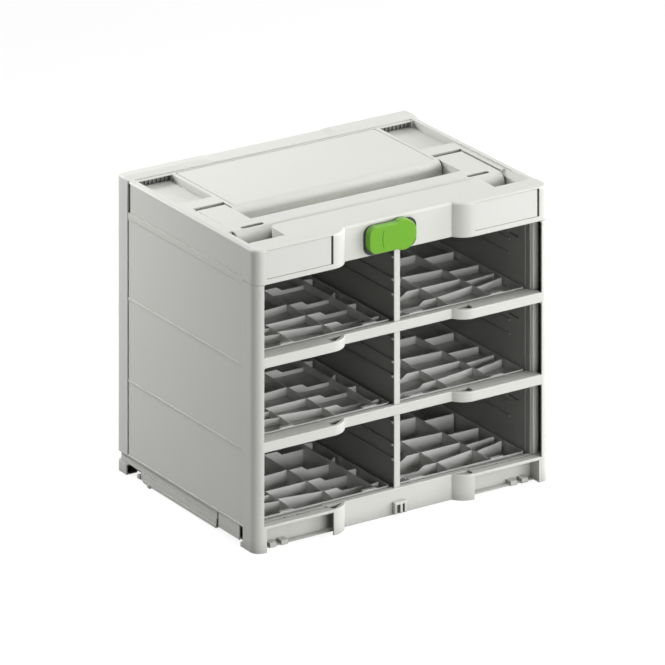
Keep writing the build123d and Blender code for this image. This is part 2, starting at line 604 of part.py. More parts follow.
# ================================================================ lining
for side_name, side in (("left", -1), ("right", 1)):
    with BuildPart() as side_liner:
        liner_out = side * (LINER_X + LINER_WALL)
        block(side * LINER_X, liner_out, FRAME_BACK, LINER_BACK, PAN_TOP, CEILING_LOW)
        block(side * LINER_X, liner_out, LINER_FRONT, FRAME_BACK, BASE_HEIGHT, FASCIA_LOW)
        for seat, ceiling, frame_top in zip(ROW_SEATS, ROW_CEILINGS, ROW_FRAME_TOPS):
            block(side * (LINER_X - SEAM_STEP), side * (LINER_X + 1), TRAY_Y, LINER_BACK,
                  seat, ceiling)
            rim_in = side * (LINER_X - RAIL_OUT)
            for drop in RAIL_DROPS:
                rail_z = frame_top - drop
                block(rim_in, side * (LINER_X + 1), TRAY_Y + 30, LINER_BACK,
                      rail_z - RAIL_HEIGHT / 2, rail_z + RAIL_HEIGHT / 2)
            slot_z = frame_top - STOP_SLOT_DROP
            slot_y = FRONT + STOP_SLOT_BACK
            block(rim_in - side, side * (LINER_X + 1.2), slot_y - STOP_SLOT_LENGTH, slot_y,
                  slot_z - STOP_SLOT_HEIGHT / 2, slot_z + STOP_SLOT_HEIGHT / 2,
                  mode=Mode.SUBTRACT)
    finish(side_liner, f"side_liner_{side_name}")

with BuildPart() as back_liner:
    block(-LINER_X, LINER_X, LINER_BACK, BACK - BACK_WALL, SHELL_BOTTOM, CEILING_LOW)
finish(back_liner, "back_liner")

with BuildPart() as ceiling_panel:
    block(-LINER_X - LINER_WALL, LINER_X + LINER_WALL, FRAME_BACK, BACK - BACK_WALL,
          CEILING_LOW, LID_LOW)
finish(ceiling_panel, "ceiling_panel")

for name, low in zip(("shelf_deck_lower", "shelf_deck_upper"), BAR_LOWS):
    with BuildPart() as shelf_deck:
        deck_x = LINER_X - SEAM_STEP
        block(-deck_x, deck_x, FRAME_BACK, LINER_BACK, low, low + DECK)
    finish(shelf_deck, name)

for row, seat, ceiling, frame_low, frame_top in zip(
    ROW_NAMES, ROW_SEATS, ROW_CEILINGS, ROW_FRAME_LOWS, ROW_FRAME_TOPS
):
    with BuildPart() as centre_partition:
        half = PARTITION / 2
        block(-half, half, FRAME_BACK, LINER_BACK, seat, ceiling)
        block(-half, half, CENTRE_BACK, FRAME_BACK + 1, frame_low, frame_top)
        for drop in RAIL_DROPS:
            rail_z = frame_top - drop
            block(-half - RAIL_OUT, half + RAIL_OUT, FRAME_BACK, LINER_BACK,
                  rail_z - RAIL_HEIGHT / 2, rail_z + RAIL_HEIGHT / 2)
    finish(centre_partition, f"centre_partition_{row}")


# ================================================================ trays
def fin(x0, x1, y0, y1):
    """Plan of a thin upright fin between two points, in the sketch being built."""
    half = DIVIDER / 2
    Polygon((x0, y0 - half), (x1, y1 - half), (x1, y1 + half), (x0, y0 + half))


FIN_COLUMNS = (
    (NARROW_FINS, NARROW_FIN_END, DIVIDER_X[0]),
    (NOTCHED_FINS, DIVIDER_X[0], DIVIDER_X[1]),
    (MIDDLE_FINS, DIVIDER_X[1], DIVIDER_X[2]),
    (OUTER_FINS, DIVIDER_X[2], FIN_END),
)
insert_front = TRAY_Y + TRAY_WALL + DIVIDER_SEAT
insert_back = TRAY_BACK - TRAY_WALL - DIVIDER_SEAT

for row, seat, rim in zip(ROW_NAMES, ROW_SEATS, ROW_RIMS):
    with BuildPart() as tray_right:
        block(TRAY_INNER, TRAY_X, TRAY_Y, TRAY_BACK, seat, rim)
        fillet(tray_right.edges().filter_by(Axis.Z), TRAY_CORNER_R)
        fillet(tray_right.faces().sort_by(Axis.Z)[-1].edges(), TRAY_RIM_R)
        block(TRAY_INNER + TRAY_WALL, TRAY_X - TRAY_WALL, TRAY_Y + TRAY_WALL,
              TRAY_BACK - TRAY_WALL, seat + TRAY_FLOOR, rim + 1, mode=Mode.SUBTRACT)
    finish(tray_right, f"tray_{row}_right")

    with BuildPart() as tray_left:
        mirror(tray_right.part, about=Plane.YZ)
    finish(tray_left, f"tray_{row}_left")

    floor = seat + TRAY_FLOOR
    top = rim - DIVIDER_DROP
    with BuildPart() as dividers_right:
        with BuildSketch(Plane.XY.offset(floor)):
            for wall_x in DIVIDER_X:
                with Locations((wall_x, (insert_front + insert_back) / 2)):
                    Rectangle(DIVIDER, insert_back - insert_front)
            for fins, from_x, to_x in FIN_COLUMNS:
                for near, far in fins:
                    fin(from_x, to_x, TRAY_Y + near, TRAY_Y + far)
        extrude(amount=top - floor)
        notch_x = DIVIDER_X[0] + DIVIDER / 2
        notch_low = top - NOTCH_DROP
        for near, far in NOTCHED_FINS:
            with BuildSketch(Plane.XZ.offset(-(TRAY_Y + near + 3))):
                Polygon((notch_x, notch_low), (NOTCH_TO, notch_low), (NOTCH_FROM, top + 1),
                        (notch_x, top + 1))
            extrude(amount=6, mode=Mode.SUBTRACT)
        for clip_x, clip_w in zip(CLIP_STARTS, CLIP_WIDTHS):
            x1 = clip_x + clip_w
            block(clip_x, x1, insert_front, insert_front + 3, floor, rim + CLIP_RISE)
            block(clip_x, x1, TRAY_Y + 0.6, insert_front + 1, rim, rim + CLIP_RISE)
            for tooth in range(3):
                tooth_x = clip_x + clip_w * (tooth + 0.7) / 4
                block(tooth_x, tooth_x + 1.6, TRAY_Y + 1.4, insert_front + 2, rim + 0.2,
                      rim + CLIP_RISE + 1, mode=Mode.SUBTRACT)
    finish(dividers_right, f"dividers_{row}_right")

    with BuildPart() as dividers_left:
        mirror(dividers_right.part, about=Plane.YZ)
    finish(dividers_left, f"dividers_{row}_left")

# ================================================================ cover
with BuildPart() as top_cover:
    lip_low = CASE_HEIGHT - COVER_LIP
    block(-PANEL_X, PANEL_X, POST_BACK, BACK_POST_FRONT + 1, lip_low, SIDE_TOP)
    fillet(top_cover.faces().sort_by(Axis.Z)[-1].edges().filter_by(Axis.Y), TOP_EDGE_R)

    # stacking pads over the back posts, and the lower rear rim between them
    with BuildSketch(Plane.XY.offset(lip_low)):
        RectangleRounded(CASE_WIDTH, CASE_DEPTH, BACK_CORNER_R)
        with Locations((0, (BACK_POST_FRONT + BACK) / 2)):
            Rectangle(CASE_WIDTH, BACK_POST_DEPTH, mode=Mode.INTERSECT)
    extrude(amount=COVER_LIP)
    pad_edges = [
        e
        for e in top_cover.faces().sort_by(Axis.Z)[-1].edges()
        if e.center().Y > BACK - BACK_CORNER_R or abs(e.center().X) > HALF_W - 1
    ]
    fillet(pad_edges, TOP_EDGE_R)
    with BuildSketch(Plane.XZ.offset(-BACK - 1)):
        with BuildLine():
            Polyline(
                (-PAD_INNER - PAD_RAMP / 2, CASE_HEIGHT + 1),
                (-PAD_INNER - PAD_RAMP / 2, CASE_HEIGHT),
                (-PAD_INNER + PAD_RAMP / 2, EDGE_TOP),
                (PAD_INNER - PAD_RAMP / 2, EDGE_TOP),
                (PAD_INNER + PAD_RAMP / 2, CASE_HEIGHT),
                (PAD_INNER + PAD_RAMP / 2, CASE_HEIGHT + 1),
                close=True,
            )
        make_face()
    extrude(amount=BACK_POST_DEPTH + 2, mode=Mode.SUBTRACT)
    with BuildSketch(Plane.YZ.offset(-HALF_W - 1)):
        with BuildLine():
            Polyline(
                (BACK_POST_FRONT - 1, SIDE_TOP),
                (BACK_POST_FRONT, SIDE_TOP),
                (BACK_POST_FRONT + PAD_RAMP, CASE_HEIGHT),
                (BACK_POST_FRONT + PAD_RAMP, CASE_HEIGHT + 1),
                (BACK_POST_FRONT - 1, CASE_HEIGHT + 1),
                close=True,
            )
        make_face()
    extrude(amount=CASE_WIDTH + 2, mode=Mode.SUBTRACT)

    # side bands, core and front rim
    band_back = BACK_POST_FRONT - SEAM - LID_SLOT
    core_x = PANEL_X - PANEL_WALL
    block(-PANEL_X, PANEL_X, POST_BACK, band_back, LID_LOW, lip_low)
    with BuildSketch(Plane.XY.offset(LID_LOW)):
        core_depth = CASE_DEPTH - 2 * BACK_WALL
        core_corner_r = max(BACK_CORNER_R - BACK_WALL + 1, 1)
        RectangleRounded(2 * core_x, core_depth, core_corner_r)
        with Locations((0, (band_back + BACK) / 2)):
            Rectangle(CASE_WIDTH, BACK - band_back, mode=Mode.INTERSECT)
    extrude(amount=lip_low - LID_LOW)
    block(-RIM_INNER, RIM_INNER, FRAME_BACK, POST_BACK + 1, LID_LOW, EDGE_TOP)
    block(-RIM_INNER, RIM_INNER, POST_BACK, RIM_REAR_Y, lip_low, EDGE_TOP)
    both_sides(HALF_W - LID_SLOT_DEPTH, HALF_W + 1, band_back, BACK_POST_FRONT, LID_LOW - 1,
               lip_low + 1, mode=Mode.SUBTRACT)

    # sunken middle, inside the rims
    block(-RIM_INNER, RIM_INNER, RIM_REAR_Y, BACK_POST_FRONT, INNER_TOP, CASE_HEIGHT + 1,
          mode=Mode.SUBTRACT)

    # rear pockets, with a slotted back wall
    pocket_low = INNER_TOP - POCKET_DEPTH
    both_sides(POCKET_INNER, RIM_INNER, POCKET_FRONT, POCKET_BACK, pocket_low,
               CASE_HEIGHT + 1, mode=Mode.SUBTRACT)
    band_in = POCKET_INNER + 1
    band_out = RIM_INNER - 3
    band_low = pocket_low + 0.6
    band_top = INNER_TOP - 1
    both_sides(band_in, band_out, POCKET_BACK - 1, POCKET_BACK + POCKET_RECESS, band_low,
               band_top, mode=Mode.SUBTRACT)
    rib_pitch = (band_out - band_in) / POCKET_RIBS
    for rib in range(POCKET_RIBS):
        rib_x = band_in + rib * rib_pitch
        both_sides(rib_x, rib_x + POCKET_SLOT_SHARE * rib_pitch, POCKET_BACK,
                   POCKET_BACK + POCKET_SLOT_DEPTH, band_low, band_top, mode=Mode.SUBTRACT)

    # handle bay, finger well and front pockets
    both_sides(BLOCK_X, CHEEK_X, RIM_REAR_Y, ARM_GAP_Y, BAY_LOW, CASE_HEIGHT + 1,
               mode=Mode.SUBTRACT)
    block(-BLOCK_X, BLOCK_X, RIM_REAR_Y, BLOCK_Y, BAY_LOW, CASE_HEIGHT + 1,
          mode=Mode.SUBTRACT)
    both_sides(FRONT_POCKET_INNER, CHEEK_X, FRONT_POCKET_Y, RIM_REAR_Y + 1, BAY_LOW,
               CASE_HEIGHT + 1, mode=Mode.SUBTRACT)
    with BuildSketch(Plane.XZ.offset(-CHEEK_Y)) as cheek_slopes:
        for side in (-1, 1):
            with BuildLine():
                Polyline(
                    (side * (CHEEK_X - 1), SIDE_TOP - CHEEK_SLOPE),
                    (side * CHEEK_X, SIDE_TOP - CHEEK_SLOPE),
                    (side * RIM_INNER, SIDE_TOP),
                    (side * RIM_INNER, CASE_HEIGHT),
                    (side * (CHEEK_X - 1), CASE_HEIGHT),
                    close=True,
                )
            make_face()
    extrude(amount=CHEEK_Y - FRONT_POCKET_Y, mode=Mode.SUBTRACT)
    rim_corners = [
        e
        for e in top_cover.edges().filter_by(Axis.Z)
        if abs(abs(e.center().X) - FRONT_POCKET_INNER) < 0.1
        and abs(e.center().Y - RIM_REAR_Y) < 0.1
    ]
    fillet(rim_corners, FRONT_POCKET_CORNER_R)
    block_nose = [
        e
        for e in top_cover.edges().filter_by(Axis.X)
        if abs(e.center().Y - BLOCK_Y) < 0.1 and e.center().Z > INNER_TOP - 1
    ]
    fillet(block_nose, BLOCK_NOSE_R)
    plate_low = PLATE_TOP - PLATE_THICK
    plate_half = PLATE_HALF + PLATE_GAP
    block(-plate_half, plate_half, PLATE_FRONT, PLATE_BACK + PLATE_GAP, plate_low,
          CASE_HEIGHT + 1, mode=Mode.SUBTRACT)

    # hollow underside, closed by the ceiling panel
    wall = BAY_WALL
    hollow_x = BLOCK_X - PIN_SEAT - wall / 2
    block(-hollow_x, hollow_x, BLOCK_Y + wall, BACK - BACK_WALL - wall, LID_LOW - 1,
          plate_low - wall, mode=Mode.SUBTRACT)
    both_sides(POCKET_INNER - 1, HALF_W - LID_SLOT_DEPTH - wall, ARM_GAP_Y + wall,
               BACK - BACK_WALL - wall, LID_LOW - 1, pocket_low - wall, mode=Mode.SUBTRACT)
    block(-FRONT_POCKET_INNER + 2 * wall, FRONT_POCKET_INNER - 2 * wall, FRAME_BACK + wall,
          RIM_REAR_Y - wall, LID_LOW - 1, SIDE_TOP - wall, mode=Mode.SUBTRACT)

    # handle pin bores
    for side in (-1, 1):
        along_x(side * (BLOCK_X - PIN_SEAT), side * (CHEEK_X + PIN_SEAT), PIVOT_Y, PIVOT_Z,
                PIN_R + PIN_CLEAR, mode=Mode.SUBTRACT)
finish(top_cover, "top_cover")

with BuildPart() as top_plate:
    block(-PLATE_HALF, PLATE_HALF, PLATE_FRONT, PLATE_BACK, PLATE_TOP - PLATE_THICK, PLATE_TOP)
    fillet(top_plate.edges().filter_by(Axis.Z).group_by(Axis.Y)[-1], 3.0)
finish(top_plate, "top_plate")

# ================================================================ handle
with BuildPart() as handle:
    grip_low = HANDLE_TOP - GRIP_THICK
    block(-HANDLE_OUTER, HANDLE_OUTER, HANDLE_Y, GRIP_REAR_Y, grip_low, HANDLE_TOP)
    both_sides(ARM_INNER, HANDLE_OUTER, GRIP_REAR_Y - 1, ARM_REAR_Y, HANDLE_TOP - ARM_THICK,
               HANDLE_TOP)
    front_edges = handle.edges().filter_by(Axis.X).group_by(Axis.Y)[0]
    fillet(front_edges.sort_by(Axis.Z)[-1], GRIP_NOSE_R)
    low_front = handle.edges().filter_by(Axis.X).group_by(Axis.Z)[0]
    fillet(low_front, 3.0)
    end_edges = [
        e
        for e in handle.edges()
        if abs(abs(e.center().X) - HANDLE_OUTER) < 0.01
        and e.center().Z > HANDLE_TOP - GRIP_NOSE_R
        and e.center().Y < ARM_REAR_Y - 1
    ]
    fillet(end_edges, GRIP_END_R)
    slit_y = FRONT + SLIT_BACK
    slit_x = SLIT_INNER + SLIT_LENGTH / 2
    with BuildSketch(Plane.XY.offset(HANDLE_TOP)):
        with Locations((-slit_x, slit_y), (slit_x, slit_y)):
            SlotOverall(SLIT_LENGTH, SLIT_WIDTH)
    extrude(amount=-SLIT_DEPTH, mode=Mode.SUBTRACT)
    for side in (-1, 1):
        along_x(side * (ARM_INNER - 1), side * (HANDLE_OUTER + 1), PIVOT_Y, PIVOT_Z,
                PIN_R + PIN_CLEAR, mode=Mode.SUBTRACT)
finish(handle, "handle")

for side_name, side in (("left", -1), ("right", 1)):
    with BuildPart() as handle_pin:
        seat_end = PIN_SEAT - 0.5
        along_x(side * (BLOCK_X - seat_end), side * (CHEEK_X + seat_end), PIVOT_Y, PIVOT_Z,
                PIN_R)
        chamfer(handle_pin.edges().filter_by(GeomType.CIRCLE), 0.4)
    finish(handle_pin, f"handle_pin_{side_name}")

# ================================================================ latch
with BuildPart() as latch_knob:
    with BuildSketch(Plane.XZ.offset(-KNOB_BACK)):
        with Locations((0, LATCH_Z)):
            Circle(KNOB_R)
        with Locations((-KNOB_REACH / 2, LATCH_Z)):
            Rectangle(KNOB_REACH, KNOB_WING)
        wing_corners = [v for v in vertices() if v.X < -KNOB_REACH + 1]
        fillet(wing_corners, KNOB_WING_R)
    extrude(amount=KNOB_THICK)
    fillet(latch_knob.faces().sort_by(Axis.Y)[0].edges(), KNOB_EDGE_R)
    with BuildSketch(Plane.XZ.offset(-KNOB_FRONT - KNOB_GROOVE_DEPTH)):
        with Locations((0, LATCH_Z)):
            Circle(KNOB_GROOVE_R + KNOB_GROOVE / 2)
            Circle(KNOB_GROOVE_R - KNOB_GROOVE / 2, mode=Mode.SUBTRACT)
        with Locations((-KNOB_GROOVE_R, LATCH_Z)):
            Rectangle(KNOB_GROOVE_R, KNOB_GROOVE_LENGTH, mode=Mode.INTERSECT)
    extrude(amount=KNOB_GROOVE_DEPTH + 1, mode=Mode.SUBTRACT)
    along_y(0, KNOB_BACK - 5.7, KNOB_BACK + 1, LATCH_Z, SPINDLE_R + SPINDLE_CLEAR,
            mode=Mode.SUBTRACT)
finish(latch_knob, "latch_knob")

with BuildPart() as latch_backing:
    with BuildSketch(Plane.XZ.offset(-BACKING_Y - BACKING_THICK)):
        backing_x = (BACKING_RIGHT - BACKING_LEFT) / 2
        backing_z = FASCIA_LOW + BACKING_LOW + BACKING_HEIGHT / 2
        with Locations((backing_x, backing_z)):
            RectangleRounded(BACKING_LEFT + BACKING_RIGHT, BACKING_HEIGHT, BACKING_CORNER_R)
        with Locations((0, LATCH_Z)):
            Circle(SPINDLE_R + SPINDLE_CLEAR, mode=Mode.SUBTRACT)
    extrude(amount=BACKING_THICK)
finish(latch_backing, "latch_backing")

with BuildPart() as latch_spindle:
    spindle_back = FRAME_BACK - RUNNING_GAP
    along_y(0, KNOB_BACK - 5.5, spindle_back, LATCH_Z, SPINDLE_R)
    chamfer(latch_spindle.edges().filter_by(GeomType.CIRCLE), 0.4)
finish(latch_spindle, "latch_spindle")

with BuildPart() as latch_washer:
    washer_back = FRAME_BACK - RUNNING_GAP - 0.6
    along_y(0, washer_back - WASHER_THICK + 0.6, washer_back, LATCH_Z, WASHER_R)
    along_y(0, washer_back - WASHER_THICK, washer_back + 1, LATCH_Z,
            SPINDLE_R + SPINDLE_CLEAR, mode=Mode.SUBTRACT)
finish(latch_washer, "latch_washer")
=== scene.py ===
"""Looks for the open-fronted rack case: finishes, small moulded detail, studio light and camera."""

import json
import math

import bmesh
import bpy
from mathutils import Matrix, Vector

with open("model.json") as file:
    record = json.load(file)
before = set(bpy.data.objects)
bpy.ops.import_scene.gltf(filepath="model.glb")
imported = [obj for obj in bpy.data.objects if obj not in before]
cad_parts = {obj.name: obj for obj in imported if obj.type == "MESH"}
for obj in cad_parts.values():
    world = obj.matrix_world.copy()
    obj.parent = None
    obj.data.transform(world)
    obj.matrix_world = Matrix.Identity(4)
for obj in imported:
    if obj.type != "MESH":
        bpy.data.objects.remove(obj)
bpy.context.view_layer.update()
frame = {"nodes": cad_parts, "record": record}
nodes = frame["nodes"]

# ---------------------------------------------------------------- view
VIEW_AZIMUTH = math.radians(33.01)      # the camera stands to the left of the front
VIEW_ELEVATION = math.radians(20.19)
VIEW_DISTANCE = 8.587                   # from the middle of the case, along the view
LENS = 408.7
AIM = Vector((-0.0003, 0.0002, 0.1612))
CLIP_NEAR = 0.1
CLIP_FAR = 50.0
HALF_TURN_DOWN = math.radians(45)       # the camera turns half a right angle inside its stretched carrier


def camera_rig():
    """A long lens on a view camera: it looks down at the case and still draws upright lines upright.

    The carrier's stretch leans the picture plane back to vertical.
    """
    lean = math.sin(VIEW_ELEVATION)
    back = Vector((
        -math.sin(VIEW_AZIMUTH) * math.cos(VIEW_ELEVATION),
        -math.cos(VIEW_AZIMUTH) * math.cos(VIEW_ELEVATION),
        lean,
    ))
    carrier = bpy.data.objects.new("camera_carrier", None)
    bpy.context.scene.collection.objects.link(carrier)
    carrier.location = AIM + back * VIEW_DISTANCE
    carrier.rotation_euler = (math.pi - HALF_TURN_DOWN - VIEW_ELEVATION / 2, 0, -VIEW_AZIMUTH)
    carrier.scale = (1, math.sqrt(1 + lean), math.sqrt(1 - lean))
    camera = bpy.data.objects.new("camera", bpy.data.cameras.new("camera"))
    bpy.context.scene.collection.objects.link(camera)
    camera.data.lens = LENS
    camera.data.clip_start = CLIP_NEAR
    camera.data.clip_end = CLIP_FAR
    camera.rotation_euler = (-HALF_TURN_DOWN, 0, 0)
    camera.parent = carrier
    bpy.context.scene.camera = camera


camera_rig()


# ---------------------------------------------------------------- shader helpers
def add_node(tree, kind, inputs=None, **settings):
    """A shader node with its settings and plain input values."""
    made = tree.nodes.new(kind)
    for name, value in settings.items():
        setattr(made, name, value)
    for name, value in (inputs or {}).items():
        made.inputs[name].default_value = value
    return made


def maths(tree, operation, first, second, clamp=False):
    """The result of a sum on two sockets or numbers."""
    made = add_node(tree, "ShaderNodeMath", operation=operation, use_clamp=clamp)
    for place, value in enumerate((first, second)):
        if isinstance(value, (int, float)):
            made.inputs[place].default_value = value
        else:
            tree.links.new(value, made.inputs[place])
    return made.outputs[0]


def blend_colour(tree, share, under, over, blend_type="MIX"):
    """The second colour laid over the first by a share."""
    made = add_node(tree, "ShaderNodeMix", data_type="RGBA", blend_type=blend_type)
    for place, value in ((0, share), (6, under), (7, over)):
        if isinstance(value, (int, float)):
            made.inputs[place].default_value = value
        elif isinstance(value, tuple):
            made.inputs[place].default_value = (*value, 1)
        else:
            tree.links.new(value, made.inputs[place])
    return made.outputs[2]


def new_group(name, inputs, outputs):
    """A shader group with number inputs and the outputs it will fill."""
    tree = bpy.data.node_groups.new(name, "ShaderNodeTree")
    for label, value in inputs.items():
        made = tree.interface.new_socket(label, in_out="INPUT", socket_type="NodeSocketFloat")
        made.default_value = value
    for label, kind in outputs.items():
        tree.interface.new_socket(label, in_out="OUTPUT", socket_type=kind)
    return tree, tree.nodes.new("NodeGroupInput"), tree.nodes.new("NodeGroupOutput")


def use_group(tree, group, values):
    """A group placed in a material, with that material's own values."""
    made = add_node(tree, "ShaderNodeGroup", node_tree=group)
    for name, value in values.items():
        made.inputs[name].default_value = value
    return made


# ---------------------------------------------------------------- shared effects
RIPPLE_SHARE = 1.6          # of the slow ripple's height against the fine pebble's
EDGE_GAIN = 4.0             # how soon a turned normal counts as a full edge


def moulded_grain():
    """Spark-textured tool steel leaves a fine pebble, and the plastic cools a little unevenly."""
    tree, given, out = new_group(
        "moulded_grain",
        {"Pebble": 1600.0, "Ripple": 60.0, "Cloud": 9.0},
        {"Height": "NodeSocketFloat", "Tone": "NodeSocketFloat"},
    )
    place = add_node(tree, "ShaderNodeTexCoord")
    pebble = add_node(tree, "ShaderNodeTexNoise", {"Detail": 3.0, "Roughness": 0.6})
    ripple = add_node(tree, "ShaderNodeTexNoise", {"Detail": 1.0})
    cloud = add_node(tree, "ShaderNodeTexNoise", {"Detail": 4.0, "Roughness": 0.55})
    for texture, scale in ((pebble, "Pebble"), (ripple, "Ripple"), (cloud, "Cloud")):
        tree.links.new(place.outputs["Object"], texture.inputs["Vector"])
        tree.links.new(given.outputs[scale], texture.inputs["Scale"])
    height = maths(tree, "MULTIPLY_ADD", ripple.outputs["Fac"], RIPPLE_SHARE)
    tree.links.new(pebble.outputs["Fac"], height.node.inputs[2])
    tree.links.new(height, out.inputs["Height"])
    tree.links.new(cloud.outputs["Fac"], out.inputs["Tone"])
    return tree


def softened_edges():
    """Edges left a little round by the mould, and a mask of where they are."""
    tree, given, out = new_group(
        "softened_edges",
        {"Radius": 0.0005},
        {"Normal": "NodeSocketVector", "Edge": "NodeSocketFloat"},
    )
    bevel = add_node(tree, "ShaderNodeBevel", samples=6)
    tree.links.new(given.outputs["Radius"], bevel.inputs["Radius"])
    true = add_node(tree, "ShaderNodeNewGeometry")
    along = add_node(tree, "ShaderNodeVectorMath", operation="DOT_PRODUCT")
    tree.links.new(bevel.outputs["Normal"], along.inputs[0])
    tree.links.new(true.outputs["Normal"], along.inputs[1])
    off = maths(tree, "SUBTRACT", 1.0, along.outputs["Value"])
    edge = maths(tree, "MULTIPLY", off, EDGE_GAIN, clamp=True)
    tree.links.new(bevel.outputs["Normal"], out.inputs["Normal"])
    tree.links.new(edge, out.inputs["Edge"])
    return tree


def painted_corner_shade():
    """How shut in a spot is, the mask for painted shade that darkens corners, creases and gaps."""
    tree, given, out = new_group(
        "painted_corner_shade",
        {"Reach": 0.014, "Power": 1.7},
        {"Painted Shade": "NodeSocketFloat"},
    )
    shut = add_node(tree, "ShaderNodeAmbientOcclusion", samples=8)
    tree.links.new(given.outputs["Reach"], shut.inputs["Distance"])
    closed = maths(tree, "SUBTRACT", 1.0, shut.outputs["AO"], clamp=True)
    power = maths(tree, "POWER", closed, 1.0)
    tree.links.new(given.outputs["Power"], power.node.inputs[1])
    tree.links.new(power, out.inputs["Painted Shade"])
    return tree


GRAIN = moulded_grain()
EDGES = softened_edges()
# Painted shade: a mask of how shut in a spot is, used to darken the base colour in corners and gaps.
CORNER_SHADE = painted_corner_shade()


# ---------------------------------------------------------------- finishes
CLOUD_SHARE = 0.04          # how much the cloudy tone darkens a plastic
EDGE_WEAR_AND_HIGHLIGHT_SHARE = 0.5            # how much of the lighter edge colour, partly wear and partly a painted highlight, shows on an edge
ROUGHNESS_SWING = 0.12      # between the smoothest and the roughest spots
EDGE_POLISH = 0.08          # edges are this much smoother
GRAIN_STRENGTH = 0.6


def plastic(name, colour, worn_and_highlight, shade_colour, roughness, grain_depth, edge_radius, shade_share, shade_reach):
    """A moulded plastic: grain, slightly cloudy colour, lighter edges that are partly wear and partly a
    painted highlight, and painted shade darkening corners and gaps.
    """
    material = bpy.data.materials.new(name)
    material.use_nodes = True
    tree = material.node_tree
    shader = tree.nodes["Principled BSDF"]
    grain = use_group(tree, GRAIN, {})
    edges = use_group(tree, EDGES, {"Radius": edge_radius})
    # Painted shade: an occlusion mask that darkens the colour in corners, creases and gaps.
    corner_shade = use_group(tree, CORNER_SHADE, {"Reach": shade_reach})
    cloudy = maths(tree, "MULTIPLY", grain.outputs["Tone"], CLOUD_SHARE)
    body = blend_colour(tree, cloudy, colour, (0.0, 0.0, 0.0))
    # Lighter edges: partly wear, partly a painted highlight along the edges.
    wear_and_highlight = maths(tree, "MULTIPLY", edges.outputs["Edge"], EDGE_WEAR_AND_HIGHLIGHT_SHARE)
    rubbed_and_highlighted = blend_colour(tree, wear_and_highlight, body, worn_and_highlight)
    # Painted shade blended into the base colour by how shut in a spot is.
    painted_shade = maths(tree, "MULTIPLY", corner_shade.outputs["Painted Shade"], shade_share)
    tree.links.new(blend_colour(tree, painted_shade, rubbed_and_highlighted, shade_colour), shader.inputs["Base Color"])
    rough = maths(tree, "MULTIPLY_ADD", grain.outputs["Tone"], ROUGHNESS_SWING)
    rough.node.inputs[2].default_value = roughness - ROUGHNESS_SWING / 2
    smoothed = maths(tree, "MULTIPLY", edges.outputs["Edge"], EDGE_POLISH)
    tree.links.new(maths(tree, "SUBTRACT", rough, smoothed), shader.inputs["Roughness"])
    bump = add_node(tree, "ShaderNodeBump", {"Strength": GRAIN_STRENGTH, "Distance": grain_depth})
    tree.links.new(grain.outputs["Height"], bump.inputs["Height"])
    tree.links.new(edges.outputs["Normal"], bump.inputs["Normal"])
    tree.links.new(bump.outputs["Normal"], shader.inputs["Normal"])
    return material


# In each plastic the darkest colour, with its share and reach, is painted shade in corners and gaps; the
# lighter edge colour is partly wear and partly a painted highlight.
PLASTICS = {
    "case_plastic": {
        "colour": (0.80, 0.805, 0.76), "worn_and_highlight": (0.84, 0.845, 0.80), "shade_colour": (0.03, 0.03, 0.028),
        "roughness": 0.5, "grain_depth": 0.00006, "edge_radius": 0.0006,
        "shade_share": 0.9, "shade_reach": 0.020,
    },
    "label_plastic": {
        "colour": (0.80, 0.805, 0.765), "worn_and_highlight": (0.84, 0.845, 0.80), "shade_colour": (0.40, 0.40, 0.38),
        "roughness": 0.42, "grain_depth": 0.00003, "edge_radius": 0.0004,
        "shade_share": 0.6, "shade_reach": 0.003,
    },
    "lining_plastic": {
        "colour": (0.34, 0.34, 0.325), "worn_and_highlight": (0.42, 0.42, 0.40), "shade_colour": (0.08, 0.08, 0.078),
        "roughness": 0.42, "grain_depth": 0.00004, "edge_radius": 0.0005,
        "shade_share": 0.5, "shade_reach": 0.008,
    },
    "tray_plastic": {
        "colour": (0.60, 0.603, 0.585), "worn_and_highlight": (0.68, 0.685, 0.665), "shade_colour": (0.14, 0.14, 0.135),
        "roughness": 0.42, "grain_depth": 0.00004, "edge_radius": 0.0004,
        "shade_share": 0.4, "shade_reach": 0.006,
    },
    "divider_plastic": {
        "colour": (0.80, 0.802, 0.78), "worn_and_highlight": (0.84, 0.842, 0.82), "shade_colour": (0.20, 0.20, 0.195),
        "roughness": 0.42, "grain_depth": 0.00004, "edge_radius": 0.0003,
        "shade_share": 0.4, "shade_reach": 0.006,
    },
    "latch_plastic": {
        "colour": (0.17, 0.47, 0.008), "worn_and_highlight": (0.25, 0.56, 0.02), "shade_colour": (0.05, 0.16, 0.004),
        "roughness": 0.36, "grain_depth": 0.00002, "edge_radius": 0.0008,
        "shade_share": 0.6, "shade_reach": 0.003,
    },
    "latch_backing_plastic": {
        "colour": (0.03, 0.035, 0.028), "worn_and_highlight": (0.05, 0.055, 0.05), "shade_colour": (0.01, 0.01, 0.01),
        "roughness": 0.5, "grain_depth": 0.00004, "edge_radius": 0.0004,
        "shade_share": 0.5, "shade_reach": 0.003,
    },
}
STEEL = (0.56, 0.56, 0.57, 1)
RING_SCALE = 900.0
RING_DEPTH = 0.00003
RING_STRENGTH = 0.3
STEEL_ROUGHNESS = 0.25
STEEL_SWING = 0.2


